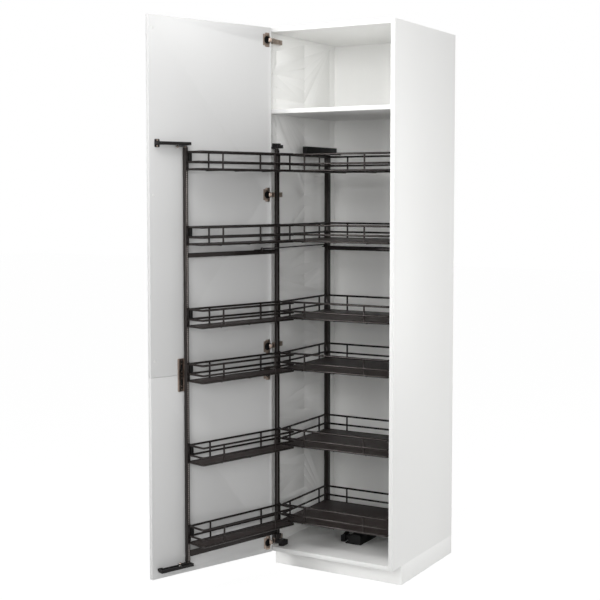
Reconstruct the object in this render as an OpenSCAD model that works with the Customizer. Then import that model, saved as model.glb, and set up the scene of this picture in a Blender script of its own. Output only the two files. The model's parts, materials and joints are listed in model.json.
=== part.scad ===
// Pull out larder unit: a tall cabinet with a two-part hinged front, a wire-basket
// frame that swings out with the front and a second frame that comes forward with it.
// Drawn open, as it stands when it is in use. Millimetres, Z up, Y towards the wall.
// The origin is on the floor, under the middle of the front plinth board.

/* [Carcass] */
// Outer width of the cabinet
carcass_w = 600; // [580:1:640]
// Outer depth of the cabinet, without the front
carcass_d = 600; // [590:1:680]
// Height of the cabinet above its plinth
carcass_h = 2200; // [2190:1:2400]
// Thickness of sides, top, bottom and shelf
panel_t = 18; // [16:0.5:20]
// Thickness of the back panel
back_t = 8; // [3:0.5:12]
// Distance from the rear edge of the sides to the back panel
back_inset = 17; // [16:0.5:17]
// Height of the fixed shelf's underside above the cabinet's bottom edge
shelf_h = 1847; // [1840:1:1900]
// Height of the wall fixing rail behind the back panel
wall_rail_h = 90; // [60:1:140]
// Diameter of the wall fixing holes
wall_hole_d = 7; // [5:0.5:9]
// Distance between the wall fixing holes
wall_hole_span = 400; // [300:10:480]

/* [Drilled rows] */
// Diameter of the shelf pin holes
pin_hole_d = 5; // [4:0.5:6]
// Depth of the shelf pin holes
pin_hole_depth = 11; // [8:0.5:13]
// Distance between two holes of a row
pin_pitch = 50; // [32:1:64]
// Height of the lowest hole above the cabinet's bottom edge
pin_low = 61; // [40:1:100]
// Distances of the four rows behind the cabinet's front edge
pin_rows = [37, 65, 300, 527]; // [34:1:540]

/* [Plinth] */
// Height of the plinth
plinth_h = 80; // [70:1:160]
// Distance from the cabinet's front to the plinth board
plinth_setback = 84; // [60:1:100]
// Diameter of a leg's foot
leg_foot_d = 52; // [40:1:60]
// Diameter of a leg's column
leg_d = 32; // [24:1:38]

/* [Front] */
// Thickness of the two front panels
front_t = 19; // [18:0.5:22]
// Height of the lower front panel, with its gap
lower_module_h = 800; // [760:1:860]
// Gap round and between the front panels
front_gap = 3; // [2:0.5:4]
// Gap between the closed front and the cabinet
front_reveal = 2.5; // [2:0.5:3]
// Angle at which the front stands open
front_open = 110; // [109:0.5:110.5]
// Sideways place of the open front's hinge edge, from the cabinet's side
front_open_x = 41; // [40.5:0.25:41.5]
// How far the open front's hinge edge stands before the cabinet
front_open_y = 14; // [14:0.25:14.5]

/* [Hinges] */
// Diameter of the hinge cup
cup_d = 35; // [34:0.5:36]
// Depth of the hinge cup
cup_depth = 12.5; // [12:0.1:13]
// Distance from the front's edge to the cup's centre
cup_edge = 21; // [20.5:0.1:21.5]
// Distance from the front's edge to the pin in the cup
cup_pin_edge = 9.2; // [9:0.1:9.6]
// Depth of the pin below the front's inner face
cup_pin_depth = 1.8; // [1.6:0.1:2.2]
// Turn of the hinge link from closed to open
link_turn = 60; // [58:0.5:62]
// Diameter of the hinge pins
hinge_pin_d = 3; // [2.4:0.1:3.2]
// Height of a hinge link
link_h = 15; // [12:0.5:16]
// Length of the hinge arm behind the cabinet's front edge
arm_back = 92; // [60:1:100]
// Height of the top hinge below the cabinet's upper edge
hinge_top = 53; // [45:1:80]
// Height of the second hinge below the swing frame's top
hinge_second = 185; // [160:1:200]
// Height of the third hinge above the joint of the two fronts
hinge_third = 78; // [76:1:100]
// Height of the fourth hinge below the joint of the two fronts
hinge_fourth = 34; // [30:1:50]
// Height of the lowest hinge above the cabinet's bottom edge
hinge_low = 43; // [36:1:44]

/* [Swing frame] */
// Distance from the cabinet's left side to the frame's pivot
pivot_inset = 46; // [45.5:0.5:48]
// Depth of the frame's pivot behind the cabinet's front edge
pivot_y = 22; // [22:0.5:23]
// Angle that the frame swings out
swing_open = 106.1; // [105.8:0.1:106.4]
// Gap between the closed swing frame and the cabinet's right side
swing_gap = 44.5; // [40:0.5:56]
// Width of a swing frame upright, along the frame
swing_post_w = 15; // [12:0.5:18]
// Depth of a swing frame upright
swing_post_d = 18; // [14:0.5:18]
// Height of the uprights' lower end above the cabinet's bottom edge
post_rise = 52; // [51:0.5:54]
// Height of the uprights' upper end above the cabinet's bottom edge
post_reach = 1696; // [1696:0.5:1699]
// Diameter of the frame's pivot pins
pivot_pin_d = 8; // [6:0.5:9]

/* [Inner frame] */
// Gap between the inner frame and the cabinet's left side
inner_gap_left = 38; // [37.5:0.5:38.5]
// Gap between the inner frame and the cabinet's right side
inner_gap_right = 6; // [5:0.5:20]
// Width of an inner frame upright
inner_post_w = 20; // [16:0.5:20]
// Depth of an inner frame upright
inner_post_d = 25; // [20:0.5:25]
// How far the inner frame comes forward
inner_travel = 136; // [135.5:0.5:136.5]
// Gap between the closed inner frame and the back panel
inner_rear_gap = 4; // [3.5:0.5:4.5]

/* [Baskets] */
// Heights of the bottom wires above the cabinet's bottom edge, from the top basket down
basket_levels = [1610, 1318, 996, 780, 457, 132]; // [110:1:1612]
// How far a swing frame basket reaches past the uprights' middles
swing_basket_over = 4; // [2:0.5:5]
// Depth of a swing frame basket
swing_basket_d = 94; // [80:1:95]
// Gap between the closed frames' baskets
basket_gap = 30; // [29:1:40]
// Diameter of the wires
wire_d = 7; // [5:0.5:8]
// Height of the middle wire above the bottom wire
mid_wire_h = 28; // [24:1:32]
// Height of the top wire above the bottom wire
top_wire_h = 67; // [56:1:72]
// Bend radius of the wires at the corners
wire_bend = 8; // [6:0.5:14]
// Thickness of the shelf sheets
tray_t = 3; // [2:0.5:3]

/* [Links and guides] */
// Length of the lever between the swing frame and the front's rail
lever_l = 35; // [34.5:0.1:35.5]
// Angle of the lever to the open front
lever_rest = 2; // [1.5:0.1:2.5]
// Width of the lever
lever_w = 16; // [12:0.5:17]
// Thickness of the lever
lever_t = 4; // [3:0.5:4]
// Diameter of the roller in the front's rail
roller_d = 10; // [8:0.5:10]
// How far the roller of the open front stands off the rail's middle
rail_lag = 1.5; // [1.3:0.1:1.7]
// Width of the front's rail
rail_w = 26; // [24:0.5:28]
// Height of the front's rail
rail_h = 12; // [11:0.5:12]
// Length of the front's rail
rail_l = 151; // [147:1:158]
// Distance from the rail's end to the front's free edge
rail_inset = 21; // [18:1:24]
// Width of the coupling strut
strut_w = 6; // [4:0.5:7]
// Thickness of the coupling strut
strut_t = 5; // [3:0.5:6]
// Distance from the swing frame to the strut's pin
crank_off = 30; // [28:0.5:32]
// Height of the coupling strut above the cabinet's bottom edge
strut_rise = 1290; // [1289:0.5:1292]
// Length of the top guide
guide_l = 268; // [260:1:300]
// Width of the top guide
guide_w = 22; // [20:0.5:26]
// Height of the top guide
guide_h = 30; // [26:0.5:34]

/* [Hidden] */
$fn = 32;

// colours
white = "#f2f2ef";
metal = "#45403d";
sheet = "#37302e";
black = "#1d1d1d";
nickel = "#9c8f84";

// clearances
pin_clear = 0.05;   // round a pin that turns, each side
slide_clear = 0.4;  // beside a part that slides or swings
seat_clear = 0.2;   // under a sheet that lies on its wires

// carcass places, with y = 0 at the front edges of the sides
half_w = carcass_w/2;
inner_half_w = half_w - panel_t;
origin_y = plinth_setback + panel_t/2;
floor_z = plinth_h + panel_t;
top_z = plinth_h + carcass_h;
back_y = carcass_d - back_inset - back_t;
back_groove = 8;    // depth of the grooves that hold the back panel
back_clear = 0.1;   // between the back panel and its grooves
pin_top_margin = 32;
pin_hole_facets = 20;

// the front, as a point and an angle, closed and open
closed_hinge = [-half_w + front_gap/2, -front_reveal];
open_hinge = [-half_w + front_open_x, -front_open_y];
front_w = carcass_w - front_gap;
module_z = plinth_h + lower_module_h;
lower_bottom = plinth_h + front_gap/2;
lower_top = module_z - front_gap/2;
upper_bottom = module_z + front_gap/2;
upper_top = top_z - front_gap/2;
connector_w = 29;
connector_l = 131;
connector_t = 5;
connector_inset = 138.5;
connector_s = front_w - connector_inset;
bumper_inset = 17;
bumper_rises = [3, -1, -13]; // over the three upper hinges
rail_end = front_w - rail_inset;
rail_start = rail_end - rail_l;

// turns a point of the plane by an angle
function turned(p, a) = [p[0]*cos(a) - p[1]*sin(a), p[0]*sin(a) + p[1]*cos(a)];
// the fixed point of the turn by angle a that takes p to q
function turn_centre(p, q, a) =
  (p + q)/2 + turned(q - p, 90)/(2*tan(a/2));

// hinges: pin in the cup, and the pin on the cabinet's arm
cup_pin = [cup_pin_edge, -cup_pin_depth];
cup_pin_open = open_hinge + turned(cup_pin, -front_open);
arm_pin = turn_centre(closed_hinge + cup_pin, cup_pin_open, link_turn);
link_crank = [3.6, 6.4];
link_bend = open_hinge + turned(link_crank, -front_open);
hinge_heights = [top_z - hinge_top, plinth_h + post_reach - hinge_second, module_z + hinge_third,
                 module_z - hinge_fourth, plinth_h + hinge_low];
link_t = 3;
knuckle_d = hinge_pin_d + 3.2;
ear_t = 2;
ear_d = 6.8;
plate_t = 3;
flange_t = 1.4;

// swing frame: heights, pivot and the direction of the frame
post_low = plinth_h + post_rise;
post_high = plinth_h + post_reach;
pivot = [-half_w + pivot_inset, pivot_y];
swing_span = carcass_w - panel_t - pivot_inset - swing_post_w/2 - swing_gap;
swing_basket_l = swing_span + 2*swing_basket_over;
swing_mid = swing_span/2;
swing_face = swing_post_d/2;
hook_t = 3;
wire_bite = 1;      // how deep the wires are welded into the hook plates

// inner frame, from its closed place against the back panel
inner_span = 2*inner_half_w - inner_gap_left - inner_gap_right - inner_post_w;
inner_x = (inner_gap_left - inner_gap_right)/2;
inner_basket_l = inner_span;
inner_basket_d = back_y - inner_rear_gap - inner_post_d - pivot_y - swing_face
                 - swing_basket_d - 2*hook_t - basket_gap;
inner_post_y = back_y - inner_rear_gap - inner_post_d/2 - inner_travel;
inner_face = inner_post_d/2;

// height of the bottom wire of basket i above the floor
function level_z(i) = plinth_h + basket_levels[i - 1];

// uprights and crossbars of both frames
post_round = 3;
collar_d = 13;
collar_h = 6;
pivot_pin_l = 13;
groove_w = 5;
groove_t = 1;
swing_sweep = norm([swing_post_w/2 - post_round, swing_post_d/2 - post_round]) + post_round;
bar_t = 3;
inner_bar_d = 15;
mid_bar_h = 18;
low_bar_h = 26;
mid_bar_z = plinth_h + 1265;
low_bar_z = post_low + 22;
cross_wire_d = 5;
post_wire_d = 6;
cross_wire_z = -wire_d/2 + 0.2;

// coupling strut: its pin lies where both end poses give the same length
strut_z = plinth_h + strut_rise;
strut_reach = 15;
strut_far_open = [inner_x - inner_span/2, inner_post_y - inner_face - strut_reach];
strut_far_closed = strut_far_open + [0, inner_travel];
along_open = turned([1, 0], -swing_open);
across_open = turned([0, 1], -swing_open);
to_open = pivot - strut_far_open;
to_closed = pivot - strut_far_closed;
crank_s = ((to_closed*to_closed - to_open*to_open)/2
           + crank_off*(to_closed*[0, 1] - to_open*across_open))
          /(to_open*along_open - to_closed*[1, 0]);
crank_pin = pivot + crank_s*along_open + crank_off*across_open;
strut_l = norm(strut_far_open - crank_pin);
strut_angle = atan2(strut_far_open[0] - crank_pin[0], strut_far_open[1] - crank_pin[1]);
eye_d = 14;
strut_pin_d = 6;
strut_step = 16;
strut_jog = [18, 60];

// levers and rails
lever_low_z = post_low - 2;
lever_high_z = post_high + 2;
rail_clear = 2;
stud_d = 6;
low_rail_z = lever_low_z - lever_t - rail_clear - rail_h/2;
high_rail_z = lever_high_z + lever_t + rail_clear + rail_h/2;
rail_slot_w = roller_d + 4.4;
rail_slot_h = rail_h - 3;
roller_h = 7;
roller_pin_d = 4;
lever_hub = pivot + swing_span*along_open;
lever_far = lever_hub + lever_l*turned([1, 0], -front_open - lever_rest);
rail_off = turned(lever_far - open_hinge, front_open)[1] - rail_lag;

// top guide, and the runner whose slider stays inside it over the whole travel
guide_slot_w = 14;
guide_wall = 8;
guide_x = inner_x - inner_span/2;
inner_post_top = post_high - 14;
runner_l = 120;
runner_t = 4;
slider_w = 12;
slider_l = 40;
slider_h = 14;
slider_end = runner_l - 5;
guide_z = inner_post_top + runner_t + 2;
guide_end = inner_post_y + inner_travel - slider_end + slider_l + 5;
guide_start = guide_end - guide_l;
tongue_l = 39;

// floor guide, and the carriage that slides in it
floor_mid = 20;
floor_rail_w = 44;
floor_rail_h = 26;
floor_slot_w = 26;
floor_base_t = 4;
carriage_l = 110;
house_lead = 112.5;  // how far the housing reaches before the open carriage
house_front = inner_post_y - carriage_l - house_lead;
house_l = 150;
house_h = 42;
house_x = [floor_mid - 28, floor_mid + 32];

module at_origin() { translate([0, -origin_y, 0]) children(); }

module on_front() {
  at_origin() translate([open_hinge[0], open_hinge[1], 0])
    rotate([0, 0, -front_open]) children();
}

// frames: x along the frame from its middle, y from the uprights to the basket's edge
module on_swing() {
  at_origin() translate([pivot[0], pivot[1], 0]) rotate([0, 0, -swing_open])
    translate([swing_mid, 0, 0]) children();
}

module on_inner() {
  at_origin() translate([inner_x, inner_post_y, 0]) rotate([0, 0, 180]) children();
}

// a block between two corners
module block(low, high) { translate(low) cube(high - low); }

// a block whose upright edges are rounded
module round_block(low, high, r) {
  for (x = [low[0] + r, high[0] - r], y = [low[1] + r, high[1] - r])
    translate([x, y, low[2]]) cylinder(r = r, h = high[2] - low[2]);
  block([low[0] + r, low[1], low[2]], [high[0] - r, high[1], high[2]]);
  block([low[0], low[1] + r, low[2]], [high[0], high[1] - r, high[2]]);
}

// a straight strip of the plane from p to q
module strip(p, q, w) {
  translate(p) rotate(atan2(q[1] - p[1], q[0] - p[0])) translate([0, -w/2])
    square([norm(q - p), w]);
}

module flat_bar(p, q, w, h) {
  translate([p[0], p[1], 0]) rotate([0, 0, atan2(q[1] - p[1], q[0] - p[0])])
    translate([0, -w/2, 0]) cube([norm(q - p), w, h]);
}

// ---------- carcass ----------

module side_panel(side) {
  color(white) at_origin() difference() {
    block([side*half_w - (side > 0 ? panel_t : 0), 0, plinth_h],
          [side*half_w + (side > 0 ? 0 : panel_t), carcass_d, top_z]);
    for (y = pin_rows, z = [plinth_h + pin_low : pin_pitch : top_z - pin_top_margin])
      translate([side*(inner_half_w + pin_hole_depth), y, z]) rotate([0, -side*90, 0])
        cylinder(d = pin_hole_d, h = pin_hole_depth + 1, $fn = pin_hole_facets);
    block([side*inner_half_w - (side > 0 ? 1 : back_groove), back_y, floor_z],
          [side*inner_half_w + (side > 0 ? back_groove : 1), back_y + back_t, top_z - panel_t]);
  }
}

module side_panel_left() { side_panel(-1); }

module side_panel_right() { side_panel(1); }

module level_panel(z, depth) {
  color(white) at_origin()
    block([-inner_half_w, 0, z], [inner_half_w, depth, z + panel_t]);
}

module top_panel() { level_panel(top_z - panel_t, carcass_d); }

module bottom_panel() { level_panel(plinth_h, carcass_d); }

module fixed_shelf() { level_panel(plinth_h + shelf_h, back_y); }

module back_panel() {
  edge = inner_half_w + back_groove - 2*back_clear;
  color(white) at_origin()
    block([-edge, back_y + back_clear, floor_z],
          [edge, back_y + back_t - back_clear, top_z - panel_t]);
}

module wall_fixing_rail() {
  color(white) at_origin() difference() {
    block([-inner_half_w, back_y + back_t, top_z - panel_t - wall_rail_h],
          [inner_half_w, carcass_d - 1, top_z - panel_t]);
    for (x = [-1, 1]*wall_hole_span/2)
      translate([x, carcass_d, top_z - panel_t - wall_rail_h/2]) rotate([90, 0, 0])
        cylinder(d = wall_hole_d, h = back_inset + 2);
  }
}

module plinth_front() {
  color(white) at_origin()
    block([-half_w, plinth_setback, 0], [half_w, plinth_setback + panel_t, plinth_h]);
}

module plinth_sides() {
  color(white) at_origin() for (side = [-1, 1])
    block([side > 0 ? inner_half_w : -half_w, plinth_setback + panel_t, 0],
          [side > 0 ? half_w : -inner_half_w, carcass_d, plinth_h]);
}

// an adjustable leg: foot, threaded neck, column, flange and the clip for the plinth
module leg() {
  foot_h = 6;
  cone_top = 11;
  thread_top = 20;
  top_t = 4;
  top_half = 36;
  rib_h = 18;
  rib_t = 3;
  rib_z = plinth_h - top_t;
  cylinder(d = leg_foot_d, h = foot_h);
  translate([0, 0, foot_h])
    cylinder(d1 = leg_foot_d - 8, d2 = leg_d - 8, h = cone_top - foot_h);
  translate([0, 0, cone_top]) cylinder(d = leg_d - 10, h = thread_top - cone_top);
  translate([0, 0, thread_top]) cylinder(d = leg_d, h = rib_z - thread_top);
  for (a = [0:90:270]) rotate([0, 0, a])
    block([leg_d/2 - 1, -rib_t/2, rib_z - rib_h], [top_half - 2, rib_t/2, rib_z]);
  translate([0, 0, rib_z]) round_block([-top_half, -top_half, 0], [top_half, top_half, top_t], 6);
}

module legs() {
  leg_inset = 70;
  leg_behind_plinth = 48;
  color(black) at_origin()
    for (x = [-1, 1]*(half_w - leg_inset),
         y = [plinth_setback + panel_t + leg_behind_plinth, carcass_d - leg_inset])
      translate([x, y, 0]) leg();
}

// hinge: mounting plate on the side, arm and the fixed pin between its two ears
module hinge_arm() {
  plate_x = -inner_half_w;
  base_x = plate_x + plate_t;
  arm_x = pivot[0] - swing_sweep - 1.5;
  arm_y = arm_pin[1] + 8;
  arm_wall = 1.4;
  ear_z = (link_h + slide_clear)/2;
  half_h = ear_z + ear_t;
  screw_ys = [arm_y + 14, arm_y + 46];
  difference() {
    block([plate_x, arm_y + 1, -half_h + 1], [base_x, arm_back + 4, half_h - 1]);
    translate([plate_x - 1, arm_back, 0]) rotate([0, 90, 0]) cylinder(d = 4, h = plate_t + 2);
  }
  difference() {
    block([base_x, arm_y, -half_h], [arm_x, arm_back - 6, half_h]);
    block([base_x + 3, arm_y - 1, -ear_z], [arm_x - arm_wall, arm_back - 12, ear_z]);
    for (y = screw_ys) translate([arm_x - arm_wall - 1, y, 0]) rotate([0, 90, 0])
      cylinder(d = 8, h = arm_wall + 2);
  }
  for (y = screw_ys) translate([base_x + 2, y, 0]) rotate([0, 90, 0])
    cylinder(d = 6.6, h = arm_x - base_x - 2.8);
  for (z = [-half_h, ear_z]) translate([0, 0, z]) {
    translate([arm_pin[0], arm_pin[1], 0]) cylinder(d = ear_d, h = ear_t);
    flat_bar(arm_pin, [arm_x - 4.3, arm_pin[1] + 10.3], ear_d - 1.2, ear_t);
  }
  translate([arm_pin[0], arm_pin[1], -half_h]) cylinder(d = hinge_pin_d, h = 2*half_h);
}

module hinge_arms() {
  color(nickel) at_origin() for (z = hinge_heights) translate([0, 0, z]) hinge_arm();
}

// a cranked link with a knuckle at each end
module hinge_link() {
  h = link_h - slide_clear;
  translate([0, 0, -h/2]) linear_extrude(h) difference() {
    union() {
      for (p = [arm_pin, cup_pin_open]) {
        translate(p) circle(d = knuckle_d);
        strip(p, link_bend, link_t);
      }
      translate(link_bend) circle(d = link_t + 0.4);
    }
    for (p = [arm_pin, cup_pin_open]) translate(p) circle(d = hinge_pin_d + 2*pin_clear);
  }
}

module hinge_links() {
  color(nickel) at_origin() for (z = hinge_heights) translate([0, 0, z]) hinge_link();
}

// cup with its flange on the front's inner face, two screws and the pin across the cup
module hinge_cup() {
  ear = link_h/2;
  ear_w = 6;
  cup_floor = 1;
  cup_wall = 1.3;
  flange = [24, 58];
  screw_z = 24;
  difference() {
    union() {
      translate([cup_edge, 0, 0]) rotate([90, 0, 0]) cylinder(d = cup_d - 0.4, h = cup_depth);
      rotate([-90, 0, 0]) {
        round_block([cup_edge - flange[0]/2, -flange[1]/2, 0],
                    [cup_edge + flange[0]/2, flange[1]/2, flange_t], 5);
        translate([cup_edge, 0, 0]) cylinder(d = cup_d + 3, h = flange_t);
      }
    }
    translate([cup_edge, flange_t + 1, 0]) rotate([90, 0, 0])
      cylinder(d = cup_d - 0.4 - 2*cup_wall, h = flange_t + cup_depth + 1 - cup_floor);
    block([0, -cup_depth + cup_floor, -ear], [cup_edge - ear_w, flange_t + 1, ear]);
  }
  for (z = [-ear - ear_t, ear]) translate([cup_pin[0] - ear_w/2, -cup_depth + cup_floor, z])
    cube([ear_w, cup_depth - cup_floor + cup_pin[1] + ear_w/2, ear_t]);
  translate([cup_pin[0], cup_pin[1], -ear - ear_t])
    cylinder(d = hinge_pin_d, h = link_h + 2*ear_t);
  for (z = [-1, 1]*screw_z) translate([cup_edge, flange_t, z]) rotate([-90, 0, 0])
    cylinder(d = 7.5, h = 1);
}

module hinge_cups() {
  color(nickel) on_front() for (z = hinge_heights) translate([0, 0, z]) hinge_cup();
}

// ---------- front ----------

module front_panel(low, high) {
  color(white) on_front() difference() {
    block([0, -front_t, low], [front_w, 0, high]);
    for (z = hinge_heights) if (z > low && z < high)
      translate([cup_edge, 1, z]) rotate([90, 0, 0])
        cylinder(d = cup_d, h = cup_depth + 1.5);
  }
}

module front_upper() { front_panel(upper_bottom, upper_top); }

module front_lower() { front_panel(lower_bottom, lower_top); }

// a ribbed plate over the joint of the two panels, with a row of screw holes and slots
module front_connector() {
  rib_w = 11;
  lip_w = 4.5;
  slot_w = 8;
  slot_ends = [19, 38];
  hole_zs = [6, 51];
  row = (lip_w - rib_w)/2;
  color(nickel) on_front() translate([connector_s, 0, module_z]) rotate([-90, 0, 0])
    difference() {
      union() {
        round_block([-connector_w/2, -connector_l/2, 0],
                    [connector_w/2, connector_l/2, connector_t - 2], 3);
        round_block([connector_w/2 - rib_w, -connector_l/2, 0],
                    [connector_w/2, connector_l/2, connector_t], 3);
        round_block([-connector_w/2, -connector_l/2, 0],
                    [lip_w - connector_w/2, connector_l/2, connector_t], 2);
      }
      for (side = [-1, 1]) {
        for (z = hole_zs) translate([row, side*z, -1]) cylinder(d = 6.5, h = connector_t + 2);
        for (z = slot_ends) translate([row, side*z, -1]) cylinder(d = slot_w, h = connector_t + 2);
        block([row - slot_w/2, min(side*slot_ends), -1],
              [row + slot_w/2, max(side*slot_ends), connector_t + 1]);
      }
    }
}

module front_bumpers() {
  color("#dcdcda") on_front() for (i = [0:2])
    translate([front_w - bumper_inset, 0, hinge_heights[i] + bumper_rises[i]])
      rotate([-90, 0, 0]) cylinder(d = 10, h = 1.6);
}

// a channel for the roller; dir is +1 where it opens upwards
module front_rail(z, dir) {
  translate([0, rail_off, z]) difference() {
    block([rail_start, -rail_w/2, -rail_h/2], [rail_end, rail_w/2, rail_h/2]);
    block([rail_start + 6, -rail_slot_w/2, dir > 0 ? rail_h/2 - rail_slot_h : -rail_h/2 - 1],
          [rail_end - 6, rail_slot_w/2, dir > 0 ? rail_h/2 + 1 : -rail_h/2 + rail_slot_h]);
  }
}

module front_rails() {
  color(black) on_front() {
    front_rail(low_rail_z, 1);
    front_rail(high_rail_z, -1);
  }
}

// a foot on the front that carries an end of the rail, with two screws
module rail_bracket(s, z) {
  foot = [22, 32];
  foot_t = 3;
  neck = [16, 8];
  screw_z = 11;
  difference() {
    rotate([-90, 0, 0]) round_block([s - foot[0]/2, -z - foot[1]/2, 0],
                                    [s + foot[0]/2, -z + foot[1]/2, foot_t], 4);
    for (dz = [-1, 1]*screw_z) translate([s, foot_t + 1, z + dz]) rotate([90, 0, 0])
      cylinder(d = 4, h = foot_t + 2);
  }
  block([s - neck[0]/2, foot_t, z - neck[1]/2], [s + neck[0]/2, rail_off - rail_w/2, z + neck[1]/2]);
}

module rail_brackets() {
  inset = 14;
  color(black) on_front()
    for (z = [low_rail_z, high_rail_z], s = [rail_start + inset, rail_end - inset])
      rail_bracket(s, z);
}

// ---------- levers between the swing frame and the front's rails ----------

module lever(z, dir) {
  z0 = dir > 0 ? z : z - lever_t;
  pin_l = rail_clear + roller_h + 0.6;
  translate([0, 0, z0]) linear_extrude(lever_t) difference() {
    union() {
      for (p = [lever_hub, lever_far]) translate(p) circle(d = lever_w);
      strip(lever_hub, lever_far, lever_w - 2);
    }
    translate(lever_hub) circle(d = stud_d + 2*pin_clear);
  }
  translate([lever_far[0], lever_far[1], dir > 0 ? z + lever_t : z - lever_t - pin_l])
    cylinder(d = roller_pin_d, h = pin_l);
}

module rail_levers() {
  color(black) at_origin() {
    lever(lever_high_z, 1);
    lever(lever_low_z, -1);
  }
}

module roller(z, dir) {
  gap = 1.6;
  z0 = dir > 0 ? z + lever_t + gap : z - lever_t - gap - roller_h;
  translate([lever_far[0], lever_far[1], z0]) difference() {
    cylinder(d = roller_d, h = roller_h);
    translate([0, 0, -1]) cylinder(d = roller_pin_d + 2*pin_clear, h = roller_h + 2);
  }
}

module rail_rollers() {
  color("#d8d4cc") at_origin() {
    roller(lever_high_z, 1);
    roller(lever_low_z, -1);
  }
}

// ---------- swing frame ----------

// an upright with rounded edges and a groove down its front and its back
module upright(w, d, low, high) {
  difference() {
    round_block([-w/2, -d/2, low], [w/2, d/2, high], post_round);
    for (s = [-1, 1])
      block([-groove_w/2, s*d/2 - groove_t, low - 1], [groove_w/2, s*d/2 + groove_t, high + 1]);
  }
}

module swing_upright_outer() {
  color(metal) on_swing() translate([swing_mid, 0, 0])
    upright(swing_post_w, swing_post_d, post_low, post_high);
}

// the upright that turns, with a foot block at its lower end
module swing_upright_pivot() {
  color(metal) on_swing() translate([-swing_mid, 0, 0]) {
    upright(swing_post_w, swing_post_d, post_low, post_high);
    round_block([-swing_post_w/2, -swing_face + 1.5, post_low + 2],
                [swing_post_w/2 + 12, swing_face + 8, low_bar_z], post_round);
  }
}

// flat bars between the uprights, and over the middle one the bracket of the strut's pin
module swing_crossbars() {
  end = swing_mid - swing_post_w/2;
  back = swing_face - bar_t;
  bracket_z = mid_bar_z + mid_bar_h;
  bracket_t = 3;
  bracket_half = [24, 9];
  strut_top = strut_z + strut_t/2 + slide_clear;
  strut_seat = strut_z - strut_t/2 - slide_clear;
  color(metal) on_swing() {
    block([-end, back, low_bar_z], [end, swing_face, low_bar_z + low_bar_h]);
    block([-end, back, mid_bar_z], [end, swing_face, bracket_z]);
    translate([crank_s - swing_mid, 0, bracket_z]) {
      round_block([-bracket_half[0], back, 0], [bracket_half[0], back + 8, bracket_t], 2);
      round_block([-bracket_half[1], back, 0],
                  [bracket_half[1], crank_off + bracket_half[1], bracket_t], 3);
      translate([0, crank_off, 0]) {
        cylinder(d = strut_pin_d, h = strut_top - bracket_z);
        cylinder(d = strut_pin_d + 6, h = strut_seat - bracket_z);
        translate([0, 0, strut_top - bracket_z]) cylinder(d = strut_pin_d + 3, h = 2);
      }
    }
  }
}

// pivot pins under and over the pivot upright, studs for the levers on the outer one
module swing_pins() {
  stud_l = 2 + lever_t + 0.3;
  washer = [12, 1.7];
  color(nickel) on_swing() {
    translate([-swing_mid, 0, 0]) {
      translate([0, 0, post_high]) cylinder(d = collar_d, h = collar_h);
      translate([0, 0, post_high + collar_h]) cylinder(d = pivot_pin_d, h = pivot_pin_l);
      translate([0, 0, post_low - collar_h]) cylinder(d = collar_d, h = collar_h);
      translate([0, 0, post_low - collar_h - pivot_pin_l]) cylinder(d = pivot_pin_d, h = pivot_pin_l);
    }
    translate([swing_mid, 0, 0]) {
      translate([0, 0, post_high]) cylinder(d = stud_d, h = stud_l);
      translate([0, 0, post_high]) cylinder(d = washer[0], h = washer[1]);
      translate([0, 0, post_low - stud_l]) cylinder(d = stud_d, h = stud_l);
      translate([0, 0, post_low - washer[1]]) cylinder(d = washer[0], h = washer[1]);
    }
  }
}

// an angle on the cabinet's side with an arm and the upper bearing of the swing frame
module swing_bracket_top() {
  wall = -inner_half_w;
  plate_z = post_high + collar_h + 2;
  plate_y = [pivot_y + 8, pivot_y + 54];
  color(black) at_origin() difference() {
    union() {
      block([wall, plate_y[0], plate_z - 2], [wall + 3, plate_y[1], plate_z + 22]);
      round_block([wall, pivot_y - 4, plate_z], [pivot[0] + 20, pivot_y + 22, plate_z + 5], 4);
      round_block([pivot[0] - 16, pivot_y - 10, plate_z],
                  [pivot[0] + 12, pivot_y + 14, plate_z + 20], 3);
      translate([pivot[0] + 14, pivot_y + 16, plate_z]) cylinder(d = 12, h = 14);
    }
    translate([pivot[0], pivot_y, plate_z - 1])
      cylinder(d = pivot_pin_d + 2*pin_clear, h = pivot_pin_l + 2);
    for (y = [plate_y[0] + 22, plate_y[1] - 9]) translate([wall - 1, y, plate_z + 12])
      rotate([0, 90, 0]) cylinder(d = 4, h = 6);
  }
}

// a foot on the cabinet's bottom with an arm and the lower bearing of the swing frame
module swing_bracket_bottom() {
  top = post_low - collar_h - 0.3;
  arm_z = top - 14;
  foot_x = [pivot[0] + 4, pivot[0] + 26];
  foot_y = [pivot_y, pivot_y + 46];
  color(black) at_origin() difference() {
    union() {
      round_block([foot_x[0], foot_y[0], floor_z], [foot_x[1], foot_y[1], floor_z + 20], 3);
      round_block([foot_x[0], foot_y[0], floor_z], [foot_x[1], foot_y[0] + 26, top], 3);
      translate([pivot[0], pivot_y, arm_z]) cylinder(d = 20, h = top - arm_z);
      block([pivot[0], pivot_y - 9, arm_z], [foot_x[1] - 3, pivot_y + 12, top]);
    }
    translate([pivot[0], pivot_y, arm_z - 1])
      cylinder(d = pivot_pin_d + 2*pin_clear, h = top - arm_z + 2);
    translate([(foot_x[0] + foot_x[1])/2, foot_y[1] - 9, floor_z - 1]) cylinder(d = 5, h = 22);
  }
}

// ---------- baskets ----------

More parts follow.
